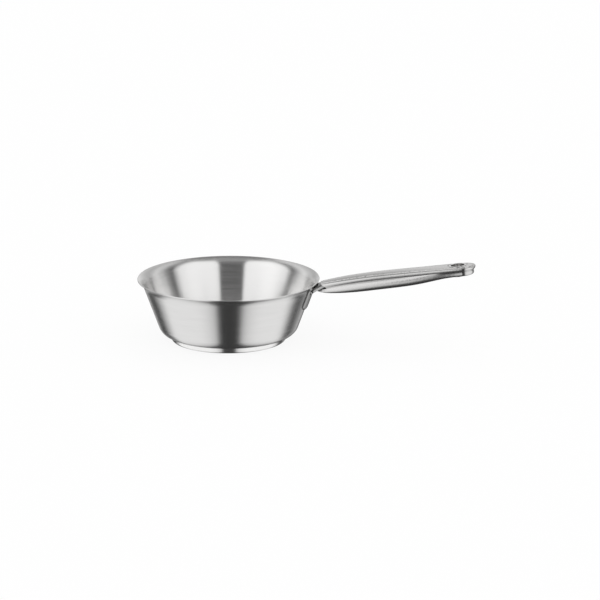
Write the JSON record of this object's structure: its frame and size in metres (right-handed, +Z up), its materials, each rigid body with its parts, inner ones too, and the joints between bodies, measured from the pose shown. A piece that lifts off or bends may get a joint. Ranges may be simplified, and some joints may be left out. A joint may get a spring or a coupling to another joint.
{
  "type": "saucier pan",
  "caption": "Flared stainless steel saucier pan with a rolled pouring lip, a sandwich base and a long hollow handle with a hanging hole.",
  "frame": {"origin": "centre of the underside, where the pan rests", "axes": "+Z up along the bowl's axis, +X along the handle away from the bowl"},
  "size_m": [0.3776, 0.203, 0.097],
  "materials": {
    "satin_steel": "satin, brushed round the bowl",
    "handle_steel": "satin, brushed along the handle",
    "disc_aluminium": "plain, hidden inside the base"
  },
  "bodies": {
    "root": {"pan_body": "satin_steel", "base_capsule": "satin_steel", "heat_spreader_disc": "disc_aluminium", "handle_bracket": "handle_steel", "handle_top_shell": "handle_steel", "handle_bottom_shell": "handle_steel", "hanging_eyelet": "handle_steel"}
  },
  "joints": []
}
